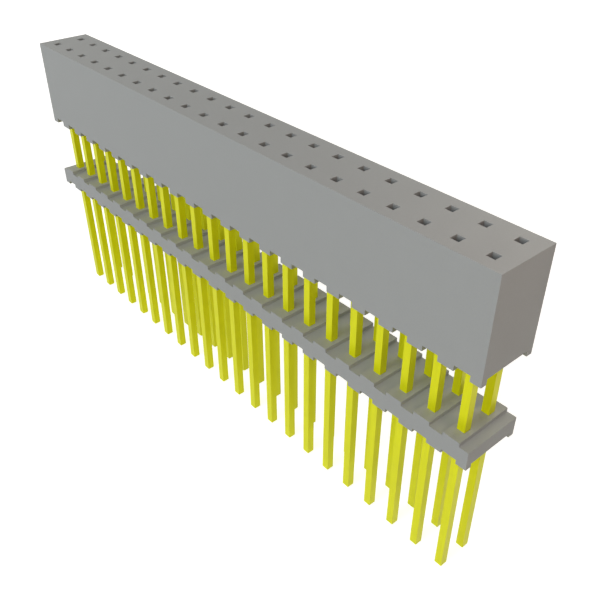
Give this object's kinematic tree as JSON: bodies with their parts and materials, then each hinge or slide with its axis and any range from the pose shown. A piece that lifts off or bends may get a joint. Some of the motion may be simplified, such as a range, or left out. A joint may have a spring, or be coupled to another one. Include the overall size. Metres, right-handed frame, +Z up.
{
  "type": "raised board socket strip",
  "caption": "Long, narrow socket strip with paired rows of square entries, held above its board on square posts that pass through a lower strip.",
  "frame": {"origin": "middle of the post field on the board's surface, level with the feet of the lower strip", "axes": "+X along the rows, +Y from the front row to the rear row, +Z up from the board to the socket entries"},
  "size_m": [0.0444, 0.004, 0.0216],
  "materials": {
    "housing": "fine moulded texture, no gloss",
    "spacer": "fine moulded texture, no gloss",
    "contact": "yellow plating, satin, drawn along the post"
  },
  "bodies": {
    "root": {"socket_housing": "housing", "tail_spacer": "spacer", "contact_front_01": "contact", "contact_front_02": "contact", "contact_front_03": "contact", "contact_front_04": "contact", "contact_front_05": "contact", "contact_front_06": "contact", "contact_front_07": "contact", "contact_front_08": "contact", "contact_front_09": "contact", "contact_front_10": "contact", "contact_front_11": "contact", "contact_front_12": "contact", "contact_front_13": "contact", "contact_front_14": "contact", "contact_front_15": "contact", "contact_front_16": "contact", "contact_front_17": "contact", "contact_front_18": "contact", "contact_front_19": "contact", "contact_front_20": "contact", "contact_front_21": "contact", "contact_front_22": "contact", "contact_rear_01": "contact", "contact_rear_02": "contact", "contact_rear_03": "contact", "contact_rear_04": "contact", "contact_rear_05": "contact", "contact_rear_06": "contact", "contact_rear_07": "contact", "contact_rear_08": "contact", "contact_rear_09": "contact", "contact_rear_10": "contact", "contact_rear_11": "contact", "contact_rear_12": "contact", "contact_rear_13": "contact", "contact_rear_14": "contact", "contact_rear_15": "contact", "contact_rear_16": "contact", "contact_rear_17": "contact", "contact_rear_18": "contact", "contact_rear_19": "contact", "contact_rear_20": "contact", "contact_rear_21": "contact", "contact_rear_22": "contact"}
  },
  "joints": []
}
